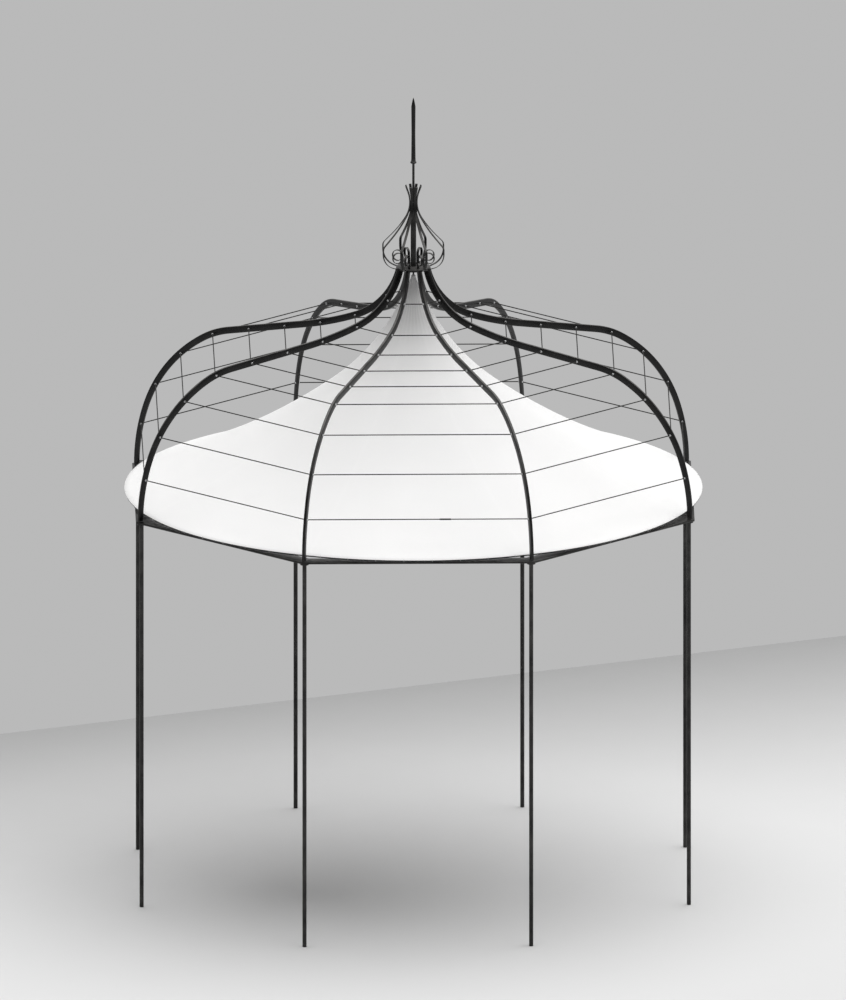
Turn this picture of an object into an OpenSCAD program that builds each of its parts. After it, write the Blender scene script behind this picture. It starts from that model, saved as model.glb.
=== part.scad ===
// Octagonal garden canopy of black iron. Eight posts carry a flat ring beam, and
// eight ogee ribs rise from its corners to a hub. Hoops of straight wires join the
// ribs, a round tent-shaped sheet hangs under them, and an open crown with a spire
// stands on the hub. Millimetres, +Z up, one bay faces -Y, the ground is Z = 0.

/* [Plan and posts] */
// Radius of the circle through the post centres
post_circle_r = 1700; // [1400:10:2200]
// Height of the ring beam's underside above the ground
eaves_h = 2277; // [1900:1:2700]
// Diameter of a post
post_d = 24; // [16:1:40]
// Diameter of the round plate on a post's top
post_plate_d = 50; // [40:1:80]
// Thickness of the round plate on a post's top
post_plate_t = 10; // [5:1:16]

/* [Ring beam] */
// Width of the flat bar, seen from above
ring_w = 93; // [60:1:140]
// Distance that the flat bar stands out past the line of the post centres
ring_out = 33; // [24:1:60]
// Thickness of the flat bar
ring_t = 12; // [6:1:20]

/* [Ribs] */
// Distance that a rib's middle stands outside the post centres at its foot
rib_out = 7; // [0:1:12]
// Depth of a rib's bar at its foot, in the rib's own plane
rib_foot_depth = 31; // [20:1:50]
// Depth of a rib's bar beyond its taper
rib_depth = 40; // [20:1:60]
// Length of the taper from the foot, along the rib
rib_taper_l = 1000; // [300:10:1600]
// Width of a rib's bar across that plane
rib_w = 16; // [8:1:30]
// Radius of the long bend above the ring beam
rib_low_r = 1110; // [950:10:1250]
// Slope at which the long bend ends
rib_low_slope = 71.5; // [66:0.5:76]
// Radius of the bend over the rib's widest bulge
rib_belly_r = 800; // [650:10:900]
// Slope at which that bend ends
rib_belly_slope = 30.5; // [26:0.5:36]
// Radius of the tight shoulder bend
rib_shoulder_r = 470; // [300:10:600]
// Slope of the straight stretch between the bends
rib_slope = 10; // [6:0.5:16]
// Radius of the long upward bend
rib_neck_r = 1780; // [1300:10:2100]
// Slope at which the long upward bend ends
rib_neck_slope = 20.5; // [16:0.5:24]
// Radius of the last upward bend, under the hub
rib_top_r = 432; // [350:1:500]
// Slope of the rib where it meets the hub
rib_top_slope = 77; // [65:0.5:82]
// Radius at which the ribs meet the hub
rib_seat_r = 84; // [75:1:120]

/* [Wires] */
// Diameter of a wire
wire_d = 6; // [3:0.5:12]
// Distance along the rib from the ring beam to the first wire
wire_first = 242; // [150:1:300]
// Distance along the rib between the first two wires
wire_low_pitch = 262; // [220:1:280]
// What each of the next lower pitches loses to the one before
wire_pitch_loss = 11; // [0:1:20]
// Distance along the rib between the last two wires
wire_top_pitch = 241; // [150:1:300]
// Distance along the rib from the last wire to the hub
wire_last = 193; // [150:1:300]

/* [Canopy sheet] */
// Clearance between the round hem and the ribs
hem_gap = 32; // [10:1:120]
// Height of the hem above the ring beam
hem_lift = 25; // [18:1:80]
// Slope of the sheet at the hem
hem_slope = 18.5; // [10:0.5:24]
// Slope between the flat lower part and the steep upper part
sheet_mid_slope = 36.5; // [30:0.5:42]
// Slope of the sheet at its peak
sheet_top_slope = 70.5; // [62:0.5:80]
// Distance from the hub down to the sheet's peak
peak_drop = 36; // [25:1:80]
// Diameter of the stub under the hub that holds the peak
peak_stub_d = 10; // [6:1:30]
// Thickness of the sheet
sheet_t = 3; // [1.5:0.5:6]
// Diameter of the hoop in the hem
hem_hoop_d = 8; // [6:1:12]
// Diameter of the pegs that hold the hoop
hem_peg_d = 5; // [3:1:6]

/* [Crown] */
// Radius of the hub disc
hub_r = 98; // [90:1:140]
// Thickness of the hub disc
hub_t = 12; // [6:1:20]
// Width of the flat strip that the crown's bars and scrolls are bent from
strip_w = 15; // [8:0.5:18]
// Thickness of that strip
strip_t = 3.5; // [2:0.5:6]
// Radius of the crown at its widest, to the middle of the bars
crown_r = 188; // [176:1:240]
// Slope at which the bars leave the hub's rim
crown_foot_slope = 19; // [0:1:30]
// Length of the bars' straight feet
crown_foot_l = 30; // [10:1:50]
// Height of the crown's upright stretch at its widest
crown_side_h = 23; // [4:1:40]
// Radius of the bend above the widest place
crown_shoulder_r = 36; // [20:1:60]
// Slope of the straight stretch above that bend
crown_slope = 46; // [43:0.5:50]
// Radius of the long hollow bend
crown_hollow_r = 700; // [500:10:800]
// Slope at which the hollow bend ends
crown_hollow_slope = 58; // [55:0.5:61]
// Radius of the bend below the waist
waist_bend_r = 172; // [120:1:220]
// Radius of the waist, to the middle of the bars
waist_r = 22; // [21:1:34]
// Radius of the bend above the waist
flare_r = 160; // [100:2:200]
// Angle through which the bars flare out above the waist
flare_angle = 21; // [12:1:40]
// Length of the bars' straight tips
flare_tip_l = 42; // [10:1:80]
// Radius of a scroll's curl
scroll_r = 31; // [25:1:36]
// What a scroll's last quarter turn loses in radius
scroll_step = 8; // [5:0.5:12]
// Radius at which a scroll's stem stands on the hub
scroll_stem_r = 66; // [50:1:75]
// Length of a scroll's straight stem
scroll_stem_h = 57; // [45:1:80]

/* [Spindle and spire] */
// Diameter of the spindle inside the crown
spindle_d = 32; // [18:1:40]
// Diameter of the turned collar's drum inside the crown
collar_d = 46; // [42:1:54]
// Height of the turned collar's drum
collar_drum_h = 18; // [10:1:20]
// Height of the collar's neck, which the bars close round
collar_neck_h = 8; // [4:1:14]
// Distance from the collar's foot up to the waist
collar_h = 60; // [56:1:80]
// Diameter of the rod above the crown
rod_d = 14; // [8:1:18]
// Length of the rod above the crown
rod_h = 229; // [150:1:400]
// Diameter of the washer under the spear
washer_d = 36; // [30:1:60]
// Thickness of the washer
washer_t = 12; // [6:1:20]
// Diameter of the spear's foot
spear_foot_d = 27; // [20:1:34]
// Diameter of the spear at its slimmest
spear_waist_d = 22; // [14:1:26]
// Length of the spear with its point
spear_h = 377; // [200:1:500]
// Length of the spear's point
spear_point_h = 54; // [30:1:100]

/* [Hidden] */

iron = "#26272a";
cloth = "#f4f4f1";
sides = 8;
low_wires = 5;
middle_wires = 3;
bay = 360 / sides;
half_bay = bay / 2;
// clearance round what is clamped, tied or welded on a curved face
seat_gap = 0.2;
// how far apart the points lie along a rib, the sheet's outline, a crown bar and a scroll
rib_step = 28;
sheet_step = 150;
bar_step = 14;
curl_step = 8;
$fn = 48;

ring_top = eaves_h + ring_t;
ring_apothem = post_circle_r * cos(half_bay);

// A run is a list of [bend radius, first heading, last heading, straight length].
// A heading is the angle above the inward horizontal, so 90 is straight up and 180
// is straight out. Points are [radius from the axis, height, heading].
function run_length(s) = s[0] == 0 ? s[3] : s[0] * abs(s[2] - s[1]) * PI / 180;
function total_length(run) = [for (s = run) run_length(s)] * [for (s = run) 1];
function along(p, s, share) =
    let (a = s[1] + (s[2] - s[1]) * share, k = sign(s[2] - s[1]) * s[0])
    s[0] == 0
        ? [p.x - s[3] * share * cos(a), p.y + s[3] * share * sin(a), a]
        : [p.x - k * (sin(a) - sin(s[1])), p.y + k * (cos(s[1]) - cos(a)), a];
function walk(p, run, d, i = 0) =
    let (l = run_length(run[i]))
    d <= l || i == len(run) - 1
        ? along(p, run[i], d / l)
        : walk(along(p, run[i], 1), run, d - l, i + 1);
function trace(p, run, step) =
    let (l = total_length(run), n = ceil(l / step))
    [for (i = [0:n]) walk(p, run, l * i / n)];
// inward distance that one bend covers
function bend_reach(s) = sign(s[2] - s[1]) * s[0] * (sin(s[2]) - sin(s[1]));
// a traced line moved sideways by t at each point, towards its upper or outer side
function beside(line, t) = [for (i = [0:len(line) - 1])
    [line[i].x + t[i] * sin(line[i][2]), line[i].y + t[i] * cos(line[i][2])]];
function all_along(line, t) = [for (p = line) t];
function reversed(v) = [for (i = [len(v) - 1:-1:0]) v[i]];
// outline of a bar with a given half depth at each point of its middle line
function bar_outline(line, half) = concat(beside(line, half), reversed(beside(line, -half)));

// the rib's centre line, whose straight stretch takes up what the bends leave
rib_start = [post_circle_r + rib_out, ring_top];
rib_bends = [
    [rib_low_r, 90, rib_low_slope, 0],
    [rib_belly_r, rib_low_slope, rib_belly_slope, 0],
    [rib_shoulder_r, rib_belly_slope, rib_slope, 0],
    [rib_neck_r, rib_slope, rib_neck_slope, 0],
    [rib_top_r, rib_neck_slope, rib_top_slope, 0]];
rib_bend_reach = [for (s = rib_bends) bend_reach(s)] * [for (s = rib_bends) 1];
rib_straight = (rib_start.x - rib_seat_r - rib_bend_reach) / cos(rib_slope);
rib_run = [
    rib_bends[0], rib_bends[1], rib_bends[2],
    [0, rib_slope, rib_slope, rib_straight],
    rib_bends[3], rib_bends[4]];
// half of the rib's depth at a distance along it
function rib_half(d) = (rib_foot_depth + (rib_depth - rib_foot_depth) * min(1, d / rib_taper_l)) / 2;
rib_foot_in = rib_start.x - rib_foot_depth / 2;
rib_end = walk(rib_start, rib_run, total_length(rib_run));
hub_z = rib_end.y;
hub_top = hub_z + hub_t;

// the lower wires draw closer by a fixed step, the middle ones are spread evenly over
// what is left below the last two
function low_wire(i) = wire_first + i * wire_low_pitch - wire_pitch_loss * i * (i - 1) / 2;
wire_low_end = low_wire(low_wires - 1);
wire_top = total_length(rib_run) - wire_last;
wire_middle_pitch = (wire_top - wire_top_pitch - wire_low_end) / middle_wires;
wire_stations = concat(
    [for (i = [0:low_wires - 1]) low_wire(i)],
    [for (i = [1:middle_wires]) wire_low_end + i * wire_middle_pitch],
    [wire_top]);

// the sheet's outline, with two bends sized so that it meets the hem and the peak
hem_r = rib_foot_in - hem_gap;
hem_z = ring_top + hem_lift;
peak_r = peak_stub_d / 2 + seat_gap + sheet_t;
peak_z = hub_z - peak_drop;
sheet_a = [sin(sheet_mid_slope) - sin(hem_slope), sin(sheet_top_slope) - sin(sheet_mid_slope)];
sheet_b = [cos(hem_slope) - cos(sheet_mid_slope), cos(sheet_mid_slope) - cos(sheet_top_slope)];
sheet_det = sheet_a[0] * sheet_b[1] - sheet_a[1] * sheet_b[0];
sheet_in = hem_r - peak_r;
sheet_up = peak_z - hem_z;
sheet_low_r = (sheet_in * sheet_b[1] - sheet_a[1] * sheet_up) / sheet_det;
sheet_high_r = (sheet_a[0] * sheet_up - sheet_in * sheet_b[0]) / sheet_det;
sheet_run = [
    [sheet_low_r, hem_slope, sheet_mid_slope, 0],
    [sheet_high_r, sheet_mid_slope, sheet_top_slope, 0]];

// the hoop lies against the sheet's underside, just inside the hem
hoop_in = sheet_t + seat_gap + hem_hoop_d / 2;
hoop_centre_r = hem_r - hoop_in * sin(hem_slope) - hem_hoop_d / 2 * cos(hem_slope);
hoop_centre_z = hem_z - hoop_in * cos(hem_slope) + hem_hoop_d / 2 * sin(hem_slope);

// a crown bar leaves the hub's rim outwards, turns up, in to the waist and out again,
// and its straight stretch takes up what the bends leave
bar_start = [
    hub_r + seat_gap + strip_t / 2 * sin(crown_foot_slope),
    hub_z + strip_t];
bar_foot = 180 - crown_foot_slope;
bar_low_r = (crown_r - bar_start.x - crown_foot_l * cos(crown_foot_slope))
    / (1 - sin(crown_foot_slope));
bar_bends = [
    [crown_shoulder_r, 90, crown_slope, 0],
    [crown_hollow_r, crown_slope, crown_hollow_slope, 0],
    [waist_bend_r, crown_hollow_slope, 90, 0]];
bar_bend_reach = [for (s = bar_bends) bend_reach(s)] * [for (s = bar_bends) 1];
bar_straight = (crown_r - waist_r - bar_bend_reach) / cos(crown_slope);
bar_flare = 90 + flare_angle;
bar_up = [
    [0, bar_foot, bar_foot, crown_foot_l],
    [bar_low_r, bar_foot, 90, 0],
    [0, 90, 90, crown_side_h],
    bar_bends[0],
    [0, crown_slope, crown_slope, bar_straight],
    bar_bends[1], bar_bends[2]];
bar_run = concat(bar_up, [[flare_r, 90, bar_flare, 0], [0, bar_flare, bar_flare, flare_tip_l]]);
waist_z = walk(bar_start, bar_up, total_length(bar_up)).y;

scroll_start = [scroll_stem_r, hub_top];
scroll_run = [
    [0, 90, 90, scroll_stem_h],
    [scroll_r, 90, 360, 0],
    [scroll_r - scroll_step, 360, 450, 0]];

collar_z = waist_z - collar_h;
collar_neck_r = waist_r - strip_t / 2 - seat_gap;
washer_z = waist_z + rod_h;
spear_z = washer_z + washer_t;

// turns a piece to post k, counted from the front left one towards the right
module at_post(k) rotate(half_bay - 90 - bay + bay * (k - 1)) children();
// turns a piece to bay k, which lies between posts k and k + 1
module at_bay(k) rotate(-90 + bay * (k - 1)) children();
// stands an outline of radius and height up in the rib's plane
module in_plane(width) rotate([90, 0, 0]) linear_extrude(width, center = true) children();

// flat strip bent the easy way along a run
module bent_strip(start, run, step) {
    line = trace(start, run, step);
    in_plane(strip_w) polygon(bar_outline(line, all_along(line, strip_t / 2)));
}

module post() color(iron)
    translate([post_circle_r, 0, 0]) cylinder(d = post_d, h = eaves_h - post_plate_t);

module post_plates() color(iron)
    for (k = [1:sides]) at_post(k)
        translate([post_circle_r, 0, eaves_h - post_plate_t])
            cylinder(d = post_plate_d, h = post_plate_t);

module ring_bar() color(iron) {
    outer = ring_apothem + ring_out;
    inner = outer - ring_w;
    t = tan(half_bay);
    translate([0, 0, eaves_h]) linear_extrude(ring_t)
        polygon([[inner, -inner * t], [outer, -outer * t], [outer, outer * t], [inner, inner * t]]);
}

module rib() color(iron) {
    past_hub = [0, rib_top_slope, rib_top_slope, rib_depth];
    run = concat(rib_run, [past_hub]);
    line = trace(rib_start, run, rib_step);
    share = total_length(run) / (len(line) - 1);
    half = [for (i = [0:len(line) - 1]) rib_half(i * share)];
    in_plane(rib_w) intersection() {
        polygon(bar_outline(line, half));
        square([rib_start.x + rib_depth, hub_z]);
    }
}

// the eight straight wires of one hoop, mitred to the faces of the ribs
module wires(i) color(iron) {
    p = walk(rib_start, rib_run, wire_stations[i - 1]);
    tip = rib_w / 2 / sin(half_bay);
    far = post_circle_r;
    for (k = [1:sides]) at_bay(k) intersection() {
        translate([p.x * cos(half_bay), 0, p.y]) rotate([90, 0, 0])
            cylinder(d = wire_d, h = 2 * far, center = true, $fn = 16);
        translate([0, 0, p.y - wire_d]) linear_extrude(2 * wire_d)
            polygon([[tip, 0], [tip + far, -far * tan(half_bay)], [tip + far, far * tan(half_bay)]]);
    }
}

module canopy() color(cloth) {
    line = trace([hem_r, hem_z], sheet_run, sheet_step);
    under = beside(line, all_along(line, -sheet_t));
    rotate_extrude($fn = 96) polygon(concat(beside(line, all_along(line, 0)), reversed(under)));
}

module hem_hoop() color(iron)
    rotate_extrude($fn = 96) translate([hoop_centre_r, hoop_centre_z]) circle(d = hem_hoop_d, $fn = 16);

module hem_pegs() color(iron) {
    first = hoop_centre_r + hem_hoop_d / 2 + seat_gap;
    last = rib_foot_in - seat_gap;
    for (k = [1:sides]) at_post(k)
        translate([first, 0, hoop_centre_z]) rotate([0, 90, 0])
            cylinder(d = hem_peg_d, h = last - first, $fn = 16);
}

// disc on the ribs, with a stub below it that holds the peak of the sheet
module hub() color(iron) {
    translate([0, 0, hub_z]) cylinder(r = hub_r, h = hub_t);
    translate([0, 0, peak_z]) cylinder(d = peak_stub_d, h = peak_drop);
}

module crown_bars() color(iron)
    for (k = [1:sides]) at_post(k) bent_strip(bar_start, bar_run, bar_step);

module crown_scrolls() color(iron)
    for (k = [1:sides]) at_post(k) bent_strip(scroll_start, scroll_run, curl_step);

module spindle() color(iron)
    translate([0, 0, hub_top]) cylinder(d = spindle_d, h = collar_z - hub_top);

// turned collar that the bars close round at the waist
module crown_collar() color(iron)
    translate([0, 0, collar_z]) rotate_extrude()
        polygon([
            [0, 0], [collar_d / 2, 0], [collar_d / 2, collar_drum_h],
            [collar_neck_r, collar_h - collar_neck_h], [collar_neck_r, collar_h], [0, collar_h]]);

module spire_rod() color(iron)
    translate([0, 0, waist_z]) cylinder(d = rod_d, h = rod_h);

module spire_washer() color(iron)
    translate([0, 0, washer_z]) cylinder(d = washer_d, h = washer_t);

module spire_spear() color(iron) {
    shaft = spear_h - spear_point_h;
    translate([0, 0, spear_z]) rotate_extrude()
        polygon([
            [0, 0], [spear_foot_d / 2, 0], [spear_waist_d / 2, shaft / 2],
            [(spear_foot_d + spear_waist_d) / 4, shaft], [0, spear_h]]);
}

at_post(1) post();  // post_1
at_post(2) post();  // post_2
at_post(3) post();  // post_3
at_post(4) post();  // post_4
at_post(5) post();  // post_5
at_post(6) post();  // post_6
at_post(7) post();  // post_7
at_post(8) post();  // post_8
post_plates();
at_bay(1) ring_bar();  // ring_bar_1
at_bay(2) ring_bar();  // ring_bar_2
at_bay(3) ring_bar();  // ring_bar_3
at_bay(4) ring_bar();  // ring_bar_4
at_bay(5) ring_bar();  // ring_bar_5
at_bay(6) ring_bar();  // ring_bar_6
at_bay(7) ring_bar();  // ring_bar_7
at_bay(8) ring_bar();  // ring_bar_8
at_post(1) rib();  // rib_1
at_post(2) rib();  // rib_2
at_post(3) rib();  // rib_3
at_post(4) rib();  // rib_4
at_post(5) rib();  // rib_5
at_post(6) rib();  // rib_6
at_post(7) rib();  // rib_7
at_post(8) rib();  // rib_8
wires(1);  // wires_1
wires(2);  // wires_2
wires(3);  // wires_3
wires(4);  // wires_4
wires(5);  // wires_5
wires(6);  // wires_6
wires(7);  // wires_7
wires(8);  // wires_8
wires(9);  // wires_9
canopy();
hem_hoop();
hem_pegs();
hub();
crown_bars();
crown_scrolls();
spindle();
crown_collar();
spire_rod();
spire_washer();
spire_spear();
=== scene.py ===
import math

import bpy
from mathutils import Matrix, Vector


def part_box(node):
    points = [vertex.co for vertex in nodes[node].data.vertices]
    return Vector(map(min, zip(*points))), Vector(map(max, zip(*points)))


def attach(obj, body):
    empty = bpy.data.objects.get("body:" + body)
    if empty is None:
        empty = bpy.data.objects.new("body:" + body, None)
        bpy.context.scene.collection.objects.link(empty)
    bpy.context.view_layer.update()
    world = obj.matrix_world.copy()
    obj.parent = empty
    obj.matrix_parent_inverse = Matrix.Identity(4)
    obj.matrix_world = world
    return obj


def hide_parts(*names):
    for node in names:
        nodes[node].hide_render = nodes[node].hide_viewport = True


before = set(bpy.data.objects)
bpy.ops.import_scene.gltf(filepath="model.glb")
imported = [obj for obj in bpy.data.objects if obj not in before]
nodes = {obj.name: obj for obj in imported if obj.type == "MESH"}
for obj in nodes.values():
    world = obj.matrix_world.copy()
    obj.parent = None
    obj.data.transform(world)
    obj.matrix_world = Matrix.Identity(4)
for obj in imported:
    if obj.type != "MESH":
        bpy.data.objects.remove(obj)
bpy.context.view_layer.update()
bpy.ops.object.select_all(action="DESELECT")
print("frame loaded:", len(nodes), "nodes")

bays = 8
halfBay = math.pi / bays
postAngles = [math.radians(-112.5) + 2 * halfBay * k for k in range(bays)]
bayAngles = [math.radians(-90) + 2 * halfBay * k for k in range(bays)]

# what the frame gives
postLow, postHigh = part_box("post_1")
postRadius = ((postLow + postHigh) / 2).xy.length
ringLow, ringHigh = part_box("ring_bar_1")
ringOuter, ringInner = -ringLow.y, -ringHigh.y
ringTop = ringHigh.z
hubLow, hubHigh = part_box("hub")
hubTop, hubRadius = hubHigh.z, hubHigh.x
canopyLow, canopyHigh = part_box("canopy")
hoopLow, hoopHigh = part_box("hem_hoop")

# a level, distant view, as through a long lens
view = {"azimuth": -0.93, "elevation": 14.7, "height": 5.739, "aimHeight": 2.2365, "aimAside": 0.0551, "away": 20}


def setCamera():
    turn, tilt = math.radians(view["azimuth"]), math.radians(view["elevation"])
    aim = Vector((math.cos(turn), math.sin(turn), 0)) * view["aimAside"] + Vector((0, 0, view["aimHeight"]))
    back = Vector((math.sin(turn) * math.cos(tilt), -math.cos(turn) * math.cos(tilt), math.sin(tilt)))
    bpy.ops.object.camera_add(location=aim + back * view["away"], rotation=(math.pi / 2 - tilt, 0, turn))
    camera = bpy.context.object
    camera.data.type = "ORTHO"
    camera.data.ortho_scale = view["height"]
    camera.data.clip_end = 60
    bpy.context.scene.camera = camera
    bpy.context.scene.view_settings.view_transform = "Standard"


setCamera()


class Shade:
    # wraps one output socket, so that masks and colours can be written as sums

    def __init__(self, tree, socket=None):
        self.tree = tree
        self.socket = socket

    def add(self, kind, inputs=None, out=0, **settings):
        made = self.tree.nodes.new(kind)
        for name, value in settings.items():
            setattr(made, name, value)
        for name, value in (inputs or {}).items():
            if isinstance(value, Shade):
                self.tree.links.new(value.socket, made.inputs[name])
            else:
                made.inputs[name].default_value = value
        return Shade(self.tree, made.outputs[out])

    def into(self, shader, name):
        self.tree.links.new(self.socket, shader.inputs[name])

    def maths(self, operation, first, second=0.0, clamp=False):
        return self.add("ShaderNodeMath", {0: first, 1: second}, operation=operation, use_clamp=clamp)

    def clamped(self):
        return self.maths("ADD", self, 0.0, clamp=True)

    def sine(self):
        return self.maths("SINE", self)

    def under(self, limit):
        return self.maths("LESS_THAN", self, limit)

    def over(self, limit):
        return self.maths("GREATER_THAN", self, limit)

    def __add__(self, other):
        return self.maths("ADD", self, other)

    def __sub__(self, other):
        return self.maths("SUBTRACT", self, other)

    def __rsub__(self, other):
        return self.maths("SUBTRACT", other, self)

    def __mul__(self, other):
        return self.maths("MULTIPLY", self, other)

    def __abs__(self):
        return self.maths("ABSOLUTE", self)

    __radd__ = __add__
    __rmul__ = __mul__

    def blend(self, first, second):
        # the colour first where this mask is 0, second where it is 1
        return self.add("ShaderNodeMix", {0: self, 6: first, 7: second}, out=2, data_type="RGBA")


def newMaterial(name):
    material = bpy.data.materials.new(name)
    material.use_nodes = True
    return material, Shade(material.node_tree), material.node_tree.nodes["Principled BSDF"]


def grey(tone, warm=0.0):
    return (tone * (1 + warm), tone, tone * (1 - warm), 1)


# near and far are the floor's tones, nearAt and farAt where they are reached; the floor darkening from near to far is
# painted shade for the light falling off towards the backdrop
floorPlan = {"size": 60, "backEdge": 4.29, "turn": 23.7, "near": 0.71, "far": 0.26, "nearAt": -0.3, "farAt": 5.6}


def floorWithPaintedFalloff():
    material, shade, shader = newMaterial("paleFloor")
    place = shade.add("ShaderNodeTexCoord", out="Object")
    turn = math.radians(floorPlan["turn"])
    # how far back a spot lies, square to the far edge
    back = shade.add("ShaderNodeVectorMath", {0: place, 1: (-math.sin(turn), math.cos(turn), 0)},
                     out="Value", operation="DOT_PRODUCT")
    share = shade.add("ShaderNodeMapRange", {"Value": back, "From Min": floorPlan["nearAt"],
                                             "From Max": floorPlan["farAt"]}, interpolation_type="SMOOTHSTEP")
    cloudy = shade.add("ShaderNodeTexNoise", {"Vector": place, "Scale": 3.0, "Detail": 3.0})
    mask = (share + (cloudy - 0.5) * 0.03).clamped()
    # painted shade: the colour darkens towards the backdrop
    mask.blend(grey(floorPlan["near"]), grey(floorPlan["far"])).into(shader, "Base Color")
    shader.inputs["Roughness"].default_value = 0.75
    shader.inputs["Specular IOR Level"].default_value = 0.2
    return material


def layFloor():
    bpy.ops.mesh.primitive_plane_add(size=floorPlan["size"])
    floor = bpy.context.object
    floor.name = floor.data.name = "floor"
    turn = math.radians(floorPlan["turn"])
    bpy.ops.object.mode_set(mode="EDIT")
    bpy.ops.mesh.select_all(action="SELECT")
    bpy.ops.mesh.bisect(plane_co=(0, floorPlan["backEdge"], 0), plane_no=(-math.sin(turn), math.cos(turn), 0),
                        clear_outer=True)
    bpy.ops.object.mode_set(mode="OBJECT")
    floor.data.materials.append(floorWithPaintedFalloff())


layFloor()

# the room is darker towards the front than towards the backdrop, and the key is a broad source overhead
studio = {"backdrop": 0.49, "roomFront": 0.24, "roomBack": 0.50, "shineFront": 0.10,
          "key": {"from": (0.45, 0.26, 2.6), "spread": 67, "strength": 2.6}}


def lightStudio():
    world = bpy.data.worlds.new("studio")
    bpy.context.scene.world = world
    world.use_nodes = True
    shade = Shade(world.node_tree)
    straight, mirrored, through = [shade.add("ShaderNodeLightPath", out=name) for name in
                                   ("Is Camera Ray", "Is Glossy Ray", "Is Transmission Ray")]
    direction = shade.add("ShaderNodeTexCoord", out="Generated")
    back = shade.add("ShaderNodeSeparateXYZ", {0: direction}, out="Y") * 0.5 + 0.5
    room = back.blend(grey(studio["roomFront"]), grey(studio["roomBack"]))
    shine = back.blend(grey(studio["shineFront"]), grey(studio["backdrop"]))
    colour = (straight + through).clamped().blend(mirrored.blend(room, shine), grey(studio["backdrop"]))
    colour.into(world.node_tree.nodes["Background"], "Color")
    key = studio["key"]
    bpy.ops.object.light_add(type="SUN", location=key["from"])
    lamp = bpy.context.object
    lamp.data.angle = math.radians(key["spread"])
    lamp.data.energy = key["strength"]
    lamp.rotation_euler = Vector(key["from"]).to_track_quat("Z", "Y").to_euler()


lightStudio()
print("camera, floor and light set")

# the lighter tone for faces that look up is partly dust and partly painted highlight for the overhead light
ironLook = {"dark": 0.002, "light": 0.016, "worn": 0.11, "dustAndPaintedLight": 0.14, "roughness": 0.34, "gloss": 0.27}
wireLook = {"dark": 0.002, "light": 0.006, "worn": 0.04, "dustAndPaintedLight": 0.010, "roughness": 0.50, "gloss": 0.15}


def paintedIron(name, look):
    # satin paint over bar that was hammered and filed a little by hand
    material, shade, shader = newMaterial(name)
    place = shade.add("ShaderNodeTexCoord", out="Object")
    cloudy = shade.add("ShaderNodeTexNoise", {"Vector": place, "Scale": 9.0, "Detail": 5.0, "Roughness": 0.6})
    grain = shade.add("ShaderNodeTexNoise", {"Vector": place, "Scale": 420.0, "Detail": 3.0, "Roughness": 0.6})
    dents = shade.add("ShaderNodeTexVoronoi", {"Vector": place, "Scale": 60.0}, feature="SMOOTH_F1")
    edge = shade.add("ShaderNodeNewGeometry", out="Pointiness")
    worn = ((edge - 0.52) * 12.0).clamped() * (cloudy * 2.4 - 0.8).clamped()
    tone = ((cloudy - 0.35) * 2.2 + (grain - 0.5) * 1.2).clamped()
    paint = tone.blend(grey(look["dark"], 0.01), grey(look["light"], 0.02))
    # faces that look up take a lighter tone, partly dust and partly painted highlight for the overhead light; the
    # ring beam is left without it, as painted shade for the sheet above it
    upward = shade.add("ShaderNodeSeparateXYZ", {0: shade.add("ShaderNodeNewGeometry", out="Normal")}, out="Z")
    height = shade.add("ShaderNodeSeparateXYZ", {0: place}, out="Z")
    dustAndPaintedLightMask = ((upward - 0.3) * 1.8).clamped() * (cloudy * 2.0 - 0.3).clamped() * height.over(ringTop + 0.05)
    paintDustAndTopLight = dustAndPaintedLightMask.blend(paint, grey(look["dustAndPaintedLight"], 0.03))
    worn.blend(paintDustAndTopLight, grey(look["worn"], 0.04)).into(shader, "Base Color")
    (look["roughness"] + (grain - 0.5) * 0.2 + (cloudy - 0.5) * 0.16).into(shader, "Roughness")
    relief = grain * 0.35 + dents * 0.65
    shade.add("ShaderNodeBump", {"Height": relief, "Strength": 0.2, "Distance": 0.0008}).into(shader, "Normal")
    shader.inputs["Specular IOR Level"].default_value = look["gloss"]
    return material


ferruleLook = {"dark": 0.40, "light": 0.58, "roughness": 0.4}


def zincEnd(name):
    # bright pressed metal with a fine spangle
    material, shade, shader = newMaterial(name)
    place = shade.add("ShaderNodeTexCoord", out="Object")
    spangle = shade.add("ShaderNodeTexVoronoi", {"Vector": place, "Scale": 500.0}, out="Distance")
    cloudy = shade.add("ShaderNodeTexNoise", {"Vector": place, "Scale": 30.0, "Detail": 3.0})
    mask = (spangle * 0.6 + cloudy * 0.4).clamped()
    mask.blend(grey(ferruleLook["dark"]), grey(ferruleLook["light"], -0.01)).into(shader, "Base Color")
    (ferruleLook["roughness"] - 0.1 + cloudy * 0.2).into(shader, "Roughness")
    shader.inputs["Metallic"].default_value = 0.5
    return material


# the darker tone near the peak is painted shade with some dust in it
clothLook = {"shade": 0.90, "tone": 0.955, "thread": 0.0013, "seamWidth": 0.014, "stitch": 0.004,
             "hemWidth": 0.032, "gathers": 40, "gatherFrom": 1.55, "gatherTo": 2.1, "dustAndPaintedLight": 0.62}


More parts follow.
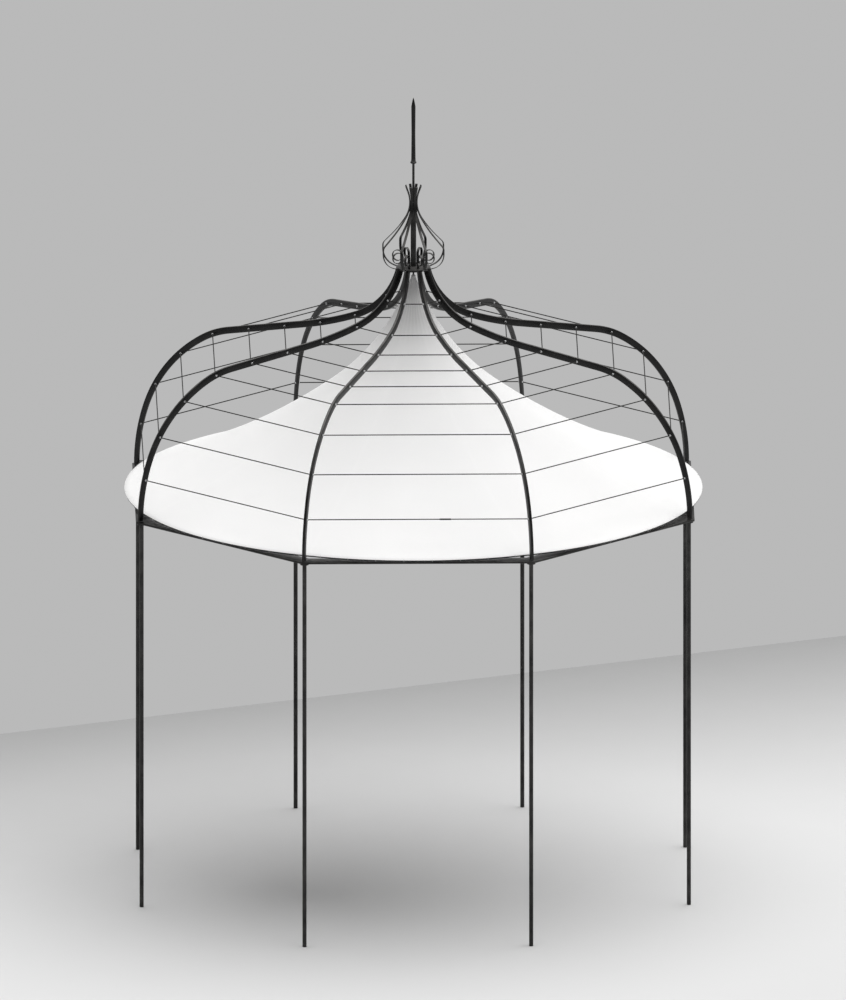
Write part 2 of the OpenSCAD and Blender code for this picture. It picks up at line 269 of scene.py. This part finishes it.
def wovenCloth():
    material, shade, shader = newMaterial("wovenCloth")
    across, along = [shade.add("ShaderNodeSeparateXYZ", {0: shade.add("ShaderNodeUVMap", uv_map="weave")}, out=axis)
                     for axis in "XY"]
    fromSeam, fromHem = [shade.add("ShaderNodeAttribute", out="Fac", attribute_name=name)
                         for name in ("fromSeam", "fromHem")]
    pitch = math.pi / clothLook["thread"]
    weave = (across * pitch).sine() * (along * pitch).sine()
    place = shade.add("ShaderNodeTexCoord", out="Object")
    soft = shade.add("ShaderNodeTexNoise", {"Vector": place, "Scale": 1.6, "Detail": 3.0})
    slub = shade.add("ShaderNodeTexNoise", {"Vector": place, "Scale": 90.0, "Detail": 2.0})
    seam = fromSeam.under(clothLook["seamWidth"])
    hem = fromHem.under(clothLook["hemWidth"])
    rate = math.pi / clothLook["stitch"]
    seamStitches = abs(fromSeam - clothLook["seamWidth"] * 0.8).under(0.0008) * (along * rate).sine().over(0.0)
    hemStitches = abs(fromHem - clothLook["hemWidth"] * 0.94).under(0.0008) * (across * rate).sine().over(0.0)
    stitches = (seamStitches + hemStitches).clamped()
    # towards the peak the cloth lies in fine gathers, and its colour goes darker there: painted shade under the hub,
    # striped along the gathers as painted shade in their folds, with some dust
    peak = shade.add("ShaderNodeMapRange", {"Value": fromHem, "From Min": clothLook["gatherFrom"],
                                            "From Max": clothLook["gatherTo"]}, interpolation_type="SMOOTHSTEP")
    side, depth = [shade.add("ShaderNodeSeparateXYZ", {0: place}, out=axis) for axis in "XY"]
    gathers = (side.maths("ARCTAN2", side, depth) * clothLook["gathers"] + (soft - 0.5) * 6.0).sine() * peak
    tone = (0.5 + (soft - 0.5) * 1.2 + weave * 0.12 + (slub - 0.5) * 0.5 + seam * 0.12 + hem * 0.12
            - stitches * 0.5).clamped()
    clean = tone.blend(grey(clothLook["shade"], 0.004), grey(clothLook["tone"], 0.004))
    dustAndPaintedLightMask = (peak * (0.84 + gathers * 0.16)).clamped()
    dustAndPaintedLightMask.blend(clean, grey(clothLook["dustAndPaintedLight"], 0.006)).into(shader, "Base Color")
    height = weave * 0.4 + slub * 0.3 + seam * 1.2 + hem * 0.8 - stitches + gathers * 2.5
    shade.add("ShaderNodeBump", {"Height": height, "Strength": 0.25, "Distance": 0.0004}).into(shader, "Normal")
    shader.inputs["Roughness"].default_value = 0.85
    shader.inputs["Specular IOR Level"].default_value = 0.2
    return material


threadLook = {"pale": 0.72, "dark": 0.48, "strand": 0.0016}


def twistedThread():
    material, shade, shader = newMaterial("sewingThread")
    place = shade.add("ShaderNodeTexCoord", out="Object")
    side, height = [shade.add("ShaderNodeSeparateXYZ", {0: place}, out=axis) for axis in "XZ"]
    lay = ((side * 1.4 + height) * (math.tau / threadLook["strand"])).sine()
    # the grooves between the twisted strands are painted darker, as painted shade, where the bump sinks
    (lay * 0.5 + 0.5).blend(grey(threadLook["dark"]), grey(threadLook["pale"])).into(shader, "Base Color")
    shade.add("ShaderNodeBump", {"Height": lay, "Strength": 0.4, "Distance": 0.0004}).into(shader, "Normal")
    shader.inputs["Roughness"].default_value = 0.9
    return material


ironPaint = paintedIron("ironPaint", ironLook)
wirePaint = paintedIron("wirePaint", wireLook)
ferruleZinc = zincEnd("ferruleZinc")
canopyCloth = wovenCloth()
sewingThread = twistedThread()

for name, node in nodes.items():
    node.data.materials.clear()
    node.data.materials.append(wirePaint if name.startswith("wires") else ironPaint)
print("finishes made")


def focus(piece):
    bpy.ops.object.select_all(action="DESELECT")
    piece.select_set(True)
    bpy.context.view_layer.objects.active = piece


def startPiece(name):
    # the primitive just added keeps its place in its mesh, and opens for editing
    piece = bpy.context.object
    piece.name = piece.data.name = name
    bpy.ops.object.transform_apply(location=True, rotation=True, scale=True)
    bpy.ops.object.mode_set(mode="EDIT")
    bpy.ops.mesh.select_all(action="SELECT")
    return piece


def closePiece():
    bpy.ops.mesh.select_all(action="SELECT")
    bpy.ops.mesh.fill_holes(sides=0)
    bpy.ops.mesh.normals_make_consistent(inside=False)
    bpy.ops.object.mode_set(mode="OBJECT")


def roundEdges(piece, width, segments=2, above=40):
    focus(piece)
    bpy.ops.object.modifier_add(type="BEVEL")
    bevel = piece.modifiers[-1]
    bevel.width = width
    bevel.segments = segments
    bevel.angle_limit = math.radians(above)
    bevel.use_clamp_overlap = True
    bpy.ops.object.modifier_apply(modifier=bevel.name)


def smooth(piece, angle=35):
    focus(piece)
    bpy.ops.object.shade_smooth_by_angle(angle=math.radians(angle))


def headed(degrees):
    # unit step along a heading: 90 is straight up, 0 is straight in, 180 is straight out
    return Vector((-math.cos(math.radians(degrees)), 0, math.sin(math.radians(degrees))))


def bendReach(bends):
    # how far inwards the bends lead together
    return sum(math.copysign(radius, last - first)
               * (math.sin(math.radians(last)) - math.sin(math.radians(first)))
               for radius, first, last, _ in bends)


def bendBar(place, run, step, depthAt=None):
    # carries the selected loop along (bend radius, first heading, last heading, straight length),
    # and keeps it as deep as depthAt says for its distance along the run
    place, gone = Vector(place), 0.0
    for radius, first, last, length in run:
        turn = math.radians(last - first)
        arc = abs(turn) * radius or length
        count = max(math.ceil(arc / step), math.ceil(abs(turn) / math.radians(7)))
        reach = math.copysign(radius, turn)
        centre = place + reach * Vector((math.sin(math.radians(first)), 0, math.cos(math.radians(first))))
        for number in range(1, count + 1):
            if radius:
                bpy.ops.mesh.spin(steps=1, angle=-turn / count, center=centre, axis=(0, 1, 0))
                heading = math.radians(first) + turn * number / count
                place = centre - reach * Vector((math.sin(heading), 0, math.cos(heading)))
            else:
                bpy.ops.mesh.extrude_edges_move(TRANSFORM_OT_translate={"value": headed(first) * (arc / count)})
                place = place + headed(first) * (arc / count)
            if depthAt:
                share = depthAt(gone + arc / count) / depthAt(gone)
                bpy.ops.transform.resize(value=(share, 1, share), center_override=place)
            gone += arc / count
    return place


def turnUp(outline):
    # carries the selected ring through (radius, height) points, as on a lathe
    for (radius, height), (nextRadius, nextHeight) in zip(outline, outline[1:]):
        bpy.ops.mesh.extrude_edges_move(TRANSFORM_OT_translate={"value": (0, 0, nextHeight - height)})
        share = nextRadius / radius
        bpy.ops.transform.resize(value=(share, share, 1), center_override=(0, 0, nextHeight))


def turnedPiece(name, outline, facets=48):
    radius, height = outline[0]
    bpy.ops.mesh.primitive_circle_add(vertices=facets, radius=radius, location=(0, 0, height))
    piece = startPiece(name)
    turnUp(outline)
    closePiece()
    return piece


def copiesAround(piece, angles, name):
    # one copy at each angle about the axis, each with its own mesh
    copies = []
    for number, angle in enumerate(angles, 1):
        focus(piece)
        bpy.ops.object.duplicate(linked=False)
        copy = bpy.context.object
        copy.name = copy.data.name = f"{name}_{number}"
        copy.rotation_euler.z = angle
        bpy.ops.object.transform_apply(location=True, rotation=True, scale=True)
        copies.append(copy)
    bpy.data.objects.remove(piece)
    return copies


def movedOut(piece):
    # from the axis, where it was turned, to the posts' circle
    piece.location.x = postRadius
    focus(piece)
    bpy.ops.object.transform_apply(location=True, rotation=True, scale=True)
    return piece


def joined(pieces, name):
    focus(pieces[0])
    for piece in pieces:
        piece.select_set(True)
    bpy.ops.object.join()
    pieces[0].name = pieces[0].data.name = name
    return pieces[0]


def fitPiece(piece, material, slot, *replaced):
    piece.data.materials.clear()
    piece.data.materials.append(material)
    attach(piece, "root")
    if replaced:
        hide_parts(*replaced)


# a flat loop of bar section lies square to the run that it is then carried along
def startBar(name, place, depth, width, corner, heading=90):
    bpy.ops.mesh.primitive_plane_add(size=1, location=place)
    bar = startPiece(name)
    bpy.ops.transform.resize(value=(depth, width, 1), center_override=place)
    bpy.ops.mesh.bevel(offset=corner, segments=3, affect="VERTICES")
    bpy.ops.mesh.delete(type="ONLY_FACE")
    bpy.ops.mesh.select_all(action="SELECT")
    if heading != 90:
        bpy.ops.transform.rotate(value=math.radians(90 - heading), orient_axis="Y", center_override=place)
    return bar


rib = {"out": 0.007, "footDepth": 0.031, "depth": 0.040, "taper": 1.0, "width": 0.016, "corner": 0.004,
       "seatRadius": 0.084, "step": 0.018,
       "lowBends": [(1.11, 90, 71.5, 0), (0.80, 71.5, 30.5, 0), (0.47, 30.5, 10, 0)],
       "highBends": [(1.78, 10, 20.5, 0), (0.432, 20.5, 77, 0)]}
hubPlate = {"thickness": 0.012, "corner": 0.0018, "stub": 0.005}
hubBottom = hubTop - hubPlate["thickness"]


def ribRun():
    bends = rib["lowBends"] + rib["highBends"]
    slope = rib["lowBends"][-1][2]
    straight = (postRadius + rib["out"] - rib["seatRadius"] - bendReach(bends)) / math.cos(math.radians(slope))
    past = [(0, bends[-1][2], bends[-1][2], rib["depth"])]
    return rib["lowBends"] + [(0, slope, slope, straight)] + rib["highBends"] + past


def ribDepth(gone):
    return rib["footDepth"] + (rib["depth"] - rib["footDepth"]) * min(1, gone / rib["taper"])


def makeRibs():
    foot = (postRadius + rib["out"], 0, ringTop)
    bar = startBar("ribBar", foot, rib["footDepth"], rib["width"], rib["corner"])
    bendBar(foot, ribRun(), rib["step"], ribDepth)
    bpy.ops.mesh.select_all(action="SELECT")
    bpy.ops.mesh.bisect(plane_co=(0, 0, hubBottom), plane_no=(0, 0, 1), clear_outer=True)
    closePiece()
    smooth(bar, 30)
    for number, copy in enumerate(copiesAround(bar, postAngles, "ribBar"), 1):
        fitPiece(copy, ironPaint, "black_iron", f"rib_{number}")


makeRibs()
print("ribs made")

post = {"footEdge": 0.0012, "plateRadius": 0.025, "plateEdge": 0.001}


def makePosts():
    half, edge, top = (postHigh - postLow).x / 2, post["footEdge"], postHigh.z
    bar = turnedPiece("postBar", [(half - edge, 0), (half, edge), (half, top / 2), (half, top)])
    smooth(bar)
    for number, copy in enumerate(copiesAround(movedOut(bar), postAngles, "postBar"), 1):
        fitPiece(copy, ironPaint, "black_iron", f"post_{number}")
    low, high = [corner.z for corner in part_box("post_plates")]
    wide = post["plateRadius"]
    plate = turnedPiece("postPlate", [(half, low), (wide, low), (wide, high), (half, high)])
    roundEdges(plate, post["plateEdge"])
    smooth(plate)
    plates = joined(copiesAround(movedOut(plate), postAngles, "postPlate"), "postPlates")
    fitPiece(plates, ironPaint, "black_iron", "post_plates")


makePosts()

ringBeam = {"corner": 0.002}


def makeRingBeam():
    bpy.ops.mesh.primitive_circle_add(vertices=bays, radius=ringOuter / math.cos(halfBay), fill_type="NGON",
                                      location=(0, 0, ringLow.z), rotation=(0, 0, halfBay))
    beam = startPiece("ringBeam")
    bpy.ops.mesh.inset(thickness=ringOuter - ringInner, use_boundary=True)
    bpy.ops.mesh.delete(type="FACE")
    bpy.ops.mesh.select_all(action="SELECT")
    bpy.ops.mesh.extrude_region_move(TRANSFORM_OT_translate={"value": (0, 0, ringTop - ringLow.z)})
    closePiece()
    roundEdges(beam, ringBeam["corner"])
    smooth(beam)
    fitPiece(beam, ironPaint, "black_iron", *[f"ring_bar_{k}" for k in range(1, bays + 1)])


makeRingBeam()
print("posts and ring beam made")

canopy = {"slopes": (18.5, 36.5, 70.5), "peakRadius": 0.0074, "hemThickness": 0.003, "thickness": 0.0012,
          "around": 192, "step": 0.035, "hemDepth": 0.034, "foldTurns": (60, 30, 0, -30, -60)}
hemRadius = canopyHigh.x
hemHeight = canopyLow.z + canopy["hemThickness"] * math.cos(math.radians(canopy["slopes"][0]))


def canopyBends():
    # two arcs that leave the hem and reach the peak at the slopes given
    low, middle, high = [math.radians(slope) for slope in canopy["slopes"]]
    across = (math.sin(middle) - math.sin(low), math.sin(high) - math.sin(middle))
    upward = (math.cos(low) - math.cos(middle), math.cos(middle) - math.cos(high))
    wide, tall = hemRadius - canopy["peakRadius"], canopyHigh.z - hemHeight
    both = across[0] * upward[1] - across[1] * upward[0]
    radii = ((wide * upward[1] - across[1] * tall) / both, (across[0] * tall - wide * upward[0]) / both)
    return [(radii[0], low, middle), (radii[1], middle, high)]


def canopyOutline():
    # (radius, height, distance from the hem), from the hem up to the peak
    outline = [(hemRadius, hemHeight, 0.0)]
    for radius, first, last in canopyBends():
        startRadius, startHeight, gone = outline[-1]
        count = math.ceil(radius * (last - first) / canopy["step"])
        for number in range(1, count + 1):
            angle = first + (last - first) * number / count
            outline.append((startRadius - radius * (math.sin(angle) - math.sin(first)),
                            startHeight + radius * (math.cos(first) - math.cos(angle)),
                            gone + radius * (angle - first)))
    return outline


def turnedHem():
    # the cloth's way under the sheet, from the stitched edge out to the fold at the rim
    slope = math.radians(canopy["slopes"][0])
    inward, down = Vector((-math.cos(slope), math.sin(slope))), Vector((-math.sin(slope), -math.cos(slope)))
    fold = canopy["hemThickness"] / 2
    rim = Vector((hemRadius, hemHeight)) + down * fold
    points = [rim + inward * reach + down * fold for reach in (canopy["hemDepth"], canopy["hemDepth"] / 2, fold)]
    for turn in canopy["foldTurns"]:
        angle = math.radians(turn)
        points.append(rim + inward * fold * (1 - math.cos(angle)) + down * fold * math.sin(angle))
    return points


def slantAt(outline, radius):
    for (outer, _, start), (inner, _, end) in zip(outline, outline[1:]):
        if inner <= radius:
            return start + (end - start) * (outer - radius) / (outer - inner)
    return outline[-1][2]


def layOutWeave(piece, outline):
    # each of the eight gores is laid flat along its own middle, in metres
    mesh = piece.data
    mesh.uv_layers.new(name="weave")
    for name in ("fromSeam", "fromHem"):
        mesh.attributes.new(name, "FLOAT", "CORNER")
    weave, fromSeam, fromHem = mesh.uv_layers["weave"], mesh.attributes["fromSeam"], mesh.attributes["fromHem"]
    for face in mesh.polygons:
        middle = math.atan2(face.center.y, face.center.x)
        gore = math.floor((middle - postAngles[0]) / (2 * halfBay))
        centre = postAngles[0] + (2 * gore + 1) * halfBay
        for corner in face.loop_indices:
            spot = mesh.vertices[mesh.loops[corner].vertex_index].co
            aside = math.remainder(math.atan2(spot.y, spot.x) - centre, 2 * math.pi)
            radius = spot.xy.length
            along = slantAt(outline, radius)
            weave.data[corner].uv = (radius * aside, along)
            fromSeam.data[corner].value = radius * (halfBay - abs(aside))
            fromHem.data[corner].value = along


def makeCanopy():
    outline, hem = canopyOutline(), turnedHem()
    bpy.ops.mesh.primitive_circle_add(vertices=canopy["around"], radius=hem[0].x, location=(0, 0, hem[0].y))
    cloth = startPiece("canopySheet")
    # the sheet starts a fold's width in from the rim
    start = [(radius, height) for radius, height, gone in outline if gone > canopy["hemThickness"] / 2]
    turnUp([tuple(point) for point in hem] + start)
    bpy.ops.mesh.select_all(action="SELECT")
    bpy.ops.mesh.normals_make_consistent(inside=False)
    bpy.ops.object.mode_set(mode="OBJECT")
    layOutWeave(cloth, outline)
    bpy.ops.object.modifier_add(type="SOLIDIFY")
    wall = cloth.modifiers[-1]
    wall.thickness = canopy["thickness"]
    wall.offset = -1
    bpy.ops.object.modifier_apply(modifier=wall.name)
    smooth(cloth, 60)
    fitPiece(cloth, canopyCloth, "white_cloth", "canopy")
    return cloth


canopySheet = makeCanopy()
print("canopy made")

binding = {"thread": 0.0022, "turns": 3, "below": 0.006}
lacing = {"thread": 0.0016, "loops": 64, "slack": 0.0004}


def makeBinding():
    # a few turns of thread that draw the peak in round the stub
    rounds = []
    for number in range(binding["turns"]):
        height = canopyHigh.z - binding["below"] - number * binding["thread"] * 0.96
        radius = canopy["peakRadius"] + (canopyHigh.z - height) / math.tan(math.radians(canopy["slopes"][2]))
        bpy.ops.mesh.primitive_circle_add(vertices=8, radius=binding["thread"] / 2, rotation=(math.pi / 2, 0, 0),
                                          location=(radius + binding["thread"] * 0.6, 0, height))
        rounds.append(startPiece("peakTurn"))
        bpy.ops.mesh.spin(steps=32, angle=math.tau, center=(0, 0, 0), axis=(0, 0, 1))
        closePiece()
    turns = joined(rounds, "peakBinding")
    smooth(turns, 60)
    fitPiece(turns, sewingThread, "white_cloth")
    return turns


def makeLacing():
    # loops that go round the hoop and through the hem, which they hold down
    hoopRadius, middle = (hoopHigh.z - hoopLow.z) / 2, (hoopHigh.z + hoopLow.z) / 2
    place = hoopHigh.x - hoopRadius
    clothTop = hemHeight + (hemRadius - place) * math.tan(math.radians(canopy["slopes"][0]))
    thick = lacing["thread"] / 2
    low, high = middle - hoopRadius - thick - lacing["slack"], clothTop + thick
    centre, reach = (place, 0, (low + high) / 2), (high - low) / 2
    bpy.ops.mesh.primitive_circle_add(vertices=6, radius=thick, location=(place + reach, 0, centre[2]))
    loop = startPiece("hemLoop")
    bpy.ops.mesh.spin(steps=16, angle=math.tau, center=centre, axis=(0, 1, 0))
    bpy.ops.mesh.select_all(action="SELECT")
    bpy.ops.transform.resize(value=(0.9, 1, 1), center_override=centre)
    closePiece()
    smooth(loop, 60)
    # no loop falls on a peg
    turns = [math.tau * (number + 0.5) / lacing["loops"] for number in range(lacing["loops"])]
    loops = joined(copiesAround(loop, turns, "hemLoop"), "hemLacing")
    fitPiece(loops, sewingThread, "white_cloth")
    return loops


makeBinding()
makeLacing()
print("sheet bound at the peak and laced to the hoop")

crown = {"width": 0.015, "thickness": 0.0035, "corner": 0.0007, "seatGap": 0.0002, "widest": 0.188, "footSlope": 19,
         "foot": 0.030, "side": 0.023, "slope": 46, "step": 0.008,
         "bends": [(0.036, 90, 46, 0), (0.700, 46, 58, 0), (0.172, 58, 90, 0)],
         "waist": 0.022, "flare": 0.160, "flareTurn": 21, "tip": 0.042}
scroll = {"radius": 0.031, "shrink": 0.008, "stemRadius": 0.066, "stem": 0.057, "step": 0.005}


def makeHub():
    stub = hubPlate["stub"]
    plate = turnedPiece("hubPlate", [(stub, hubLow.z), (stub, hubBottom), (hubRadius, hubBottom),
                                     (hubRadius, hubTop)], facets=64)
    roundEdges(plate, hubPlate["corner"])
    smooth(plate)
    fitPiece(plate, ironPaint, "black_iron", "hub")


def bentStrip(name, start, run, step):
    strip = startBar(name, start, crown["thickness"], crown["width"], crown["corner"], run[0][1])
    bendBar(start, run, step)
    closePiece()
    smooth(strip, 30)
    return joined(copiesAround(strip, postAngles, name), name + "s")


def makeCrownBars():
    rise, half = math.radians(crown["footSlope"]), crown["thickness"] / 2
    start = (hubRadius + crown["seatGap"] + half * math.sin(rise), 0, hubBottom + crown["thickness"])
    lowBend = (crown["widest"] - start[0] - crown["foot"] * math.cos(rise)) / (1 - math.sin(rise))
    straight = (crown["widest"] - crown["waist"] - bendReach(crown["bends"])) / math.cos(math.radians(crown["slope"]))
    outward, flared = 180 - crown["footSlope"], 90 + crown["flareTurn"]
    run = [(0, outward, outward, crown["foot"]), (lowBend, outward, 90, 0), (0, 90, 90, crown["side"]),
           crown["bends"][0], (0, crown["slope"], crown["slope"], straight), *crown["bends"][1:],
           (crown["flare"], 90, flared, 0), (0, flared, flared, crown["tip"])]
    bars = bentStrip("crownBar", start, run, crown["step"])
    fitPiece(bars, ironPaint, "black_iron", "crown_bars")


def makeScrolls():
    radius, shrink = scroll["radius"], scroll["shrink"]
    run = [(0, 90, 90, scroll["stem"]), (radius, 90, 360, 0), (radius - shrink, 360, 450, 0)]
    scrolls = bentStrip("crownScroll", (scroll["stemRadius"], 0, hubTop), run, scroll["step"])
    fitPiece(scrolls, ironPaint, "black_iron", "crown_scrolls")


# a drum with a groove round its middle, and a cone up to the neck that the crown's bars close on
collar = {"drum": 0.018, "chamfer": 0.003, "cap": 0.002, "groove": 0.0025, "grooveFrom": 0.007, "grooveTo": 0.011,
          "neckHeight": 0.008, "edge": 0.0008}


def makeCollar():
    low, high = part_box("crown_collar")
    wide, neck = high.x, crown["waist"] - crown["thickness"] / 2 - crown["seatGap"]
    chamfer, top = collar["chamfer"], low.z + collar["drum"]
    grooveLow, grooveHigh = low.z + collar["grooveFrom"], low.z + collar["grooveTo"]
    outline = [(wide - chamfer, low.z), (wide, low.z + chamfer), (wide, grooveLow),
               (wide - collar["groove"], (grooveLow + grooveHigh) / 2), (wide, grooveHigh), (wide, top - chamfer),
               (wide - collar["cap"], top), (neck, high.z - collar["neckHeight"]), (neck, high.z)]
    turned = turnedPiece("turnedCollar", outline)
    roundEdges(turned, collar["edge"], above=20)
    smooth(turned)
    fitPiece(turned, ironPaint, "black_iron", "crown_collar")


def makeRod(name, node):
    low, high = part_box(node)
    rod = turnedPiece(name, [(high.x, low.z), (high.x, (low.z + high.z) / 2), (high.x, high.z)])
    smooth(rod)
    fitPiece(rod, ironPaint, "black_iron", node)


washer = {"rim": 0.003, "slant": 0.004, "edge": 0.0015}


def makeWasher():
    low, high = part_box("spire_washer")
    wide, rim, slant = high.x, washer["rim"], washer["slant"]
    turned = turnedPiece("spireWasher", [(wide - rim, low.z), (wide, low.z + slant),
                                         (wide, high.z - slant), (wide - rim, high.z)])
    roundEdges(turned, washer["edge"], segments=3, above=20)
    smooth(turned)
    fitPiece(turned, ironPaint, "black_iron", "spire_washer")


# (radius, height), the heights of the point's outline counted from the top of the shaft
spear = {"foot": [(0.0135, 0.0), (0.0125, 0.02)], "waist": 0.011, "point": 0.054,
         "pointOutline": [(0.01225, -0.004), (0.01225, 0.002), (0.0095, 0.018), (0.0055, 0.038)], "tip": 0.0012,
         "edge": 0.001}


def makeSpear():
    low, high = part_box("spire_spear")
    shaft = high.z - spear["point"]
    outline = [(radius, low.z + height) for radius, height in spear["foot"]]
    outline.append((spear["waist"], (low.z + shaft) / 2))
    outline += [(radius, shaft + height) for radius, height in spear["pointOutline"]]
    outline.append((spear["tip"], high.z))
    turned = turnedPiece("spireSpear", outline, facets=32)
    roundEdges(turned, spear["edge"], above=15)
    smooth(turned)
    fitPiece(turned, ironPaint, "black_iron", "spire_spear")


makeHub()
makeCrownBars()
makeScrolls()
makeCollar()
makeRod("crownSpindle", "spindle")
makeRod("spireRod", "spire_rod")
makeWasher()
makeSpear()
print("crown and spire made")

ferrule = {"radius": 0.0058, "length": 0.006, "sunk": 0.004, "lip": 0.0018, "lipShare": 0.75, "facets": 10}
hoops = sum(name.startswith("wires") for name in nodes)


def makeFerrules():
    ends = []
    for hoop in range(1, hoops + 1):
        low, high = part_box(f"wires_{hoop}")
        height = (low.z + high.z) / 2
        flat = -low.y - (high.z - low.z) / 2
        reach = flat * math.tan(halfBay) - rib["width"] / 2 / math.cos(halfBay)
        for side in (1, -1):
            bpy.ops.mesh.primitive_circle_add(
                vertices=ferrule["facets"], radius=ferrule["radius"], rotation=(math.pi / 2, 0, 0),
                location=(flat, side * (reach + ferrule["sunk"]), height))
            end = startPiece("ferrule")
            for length in (ferrule["length"] + ferrule["sunk"], ferrule["lip"]):
                bpy.ops.mesh.extrude_edges_move(TRANSFORM_OT_translate={"value": (0, -side * length, 0)})
            share, mouth = ferrule["lipShare"], reach - ferrule["length"] - ferrule["lip"]
            bpy.ops.transform.resize(value=(share, 1, share), center_override=(flat, side * mouth, height))
            closePiece()
            smooth(end, 50)
            ends += copiesAround(end, bayAngles, f"ferrule_{hoop}_{side + 1}")
    ends = joined(ends, "wireFerrules")
    fitPiece(ends, ferruleZinc, "steel_wire")


sleeve = {"radius": 0.0046, "from": 0.125, "to": 0.190, "edge": 0.0012}


def makeSleeve():
    # covers the joint in the lowest wire of the front bay
    low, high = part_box("wires_1")
    height, front = (low.z + high.z) / 2, low.y + (high.z - low.z) / 2
    bpy.ops.mesh.primitive_circle_add(vertices=24, radius=sleeve["radius"], rotation=(0, math.pi / 2, 0),
                                      location=(sleeve["from"], front, height))
    tube = startPiece("wireSleeve")
    bpy.ops.mesh.extrude_edges_move(TRANSFORM_OT_translate={"value": (sleeve["to"] - sleeve["from"], 0, 0)})
    closePiece()
    roundEdges(tube, sleeve["edge"], segments=3)
    smooth(tube)
    fitPiece(tube, wirePaint, "steel_wire")


makeFerrules()
makeSleeve()
print("wire ends made")

# the fillet of weld round the end of a bar: (height, spread), as shares of its leg
weld = {"leg": 0.0035, "hollow": [(0.0, 1.0), (0.2, 0.5), (0.5, 0.2), (1.0, 0.0)]}


def weldRound(name, foot, depth, width, corner):
    foot, leg = Vector(foot), weld["leg"]
    bead = startBar(name, foot, depth + 2 * leg, width + 2 * leg, corner + leg)
    for (low, wide), (high, narrow) in zip(weld["hollow"], weld["hollow"][1:]):
        bpy.ops.mesh.extrude_edges_move(TRANSFORM_OT_translate={"value": (0, 0, leg * (high - low))})
        bpy.ops.transform.resize(value=((depth + 2 * leg * narrow) / (depth + 2 * leg * wide),
                                        (width + 2 * leg * narrow) / (width + 2 * leg * wide), 1),
                                 center_override=foot)
    closePiece()
    smooth(bead, 60)
    return bead


def turnedWeld(name, radius, base, side, facets):
    # round a round bar: side 1 stands on its base, and side -1 hangs from it
    leg = weld["leg"]
    outline = [(radius + spread * leg, base + side * height * leg) for height, spread in weld["hollow"]]
    bead = turnedPiece(name, outline[::side], facets)
    smooth(bead, 60)
    return bead


def makeWelds():
    ribFoot = weldRound("ribWeld", (postRadius + rib["out"], 0, ringTop), rib["footDepth"], rib["width"],
                        rib["corner"])
    beads = copiesAround(ribFoot, postAngles, "ribWeld")
    postHead = turnedWeld("postWeld", (postHigh - postLow).x / 2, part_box("post_plates")[0].z, -1, facets=24)
    beads += copiesAround(movedOut(postHead), postAngles, "postWeld")
    spindleLow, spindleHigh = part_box("spindle")
    beads.append(turnedWeld("spindleWeld", (spindleHigh - spindleLow).x / 2, hubTop, 1, facets=32))
    welds = joined(beads, "weldFillets")
    fitPiece(welds, ironPaint, "black_iron")


makeWelds()
print("welds made")
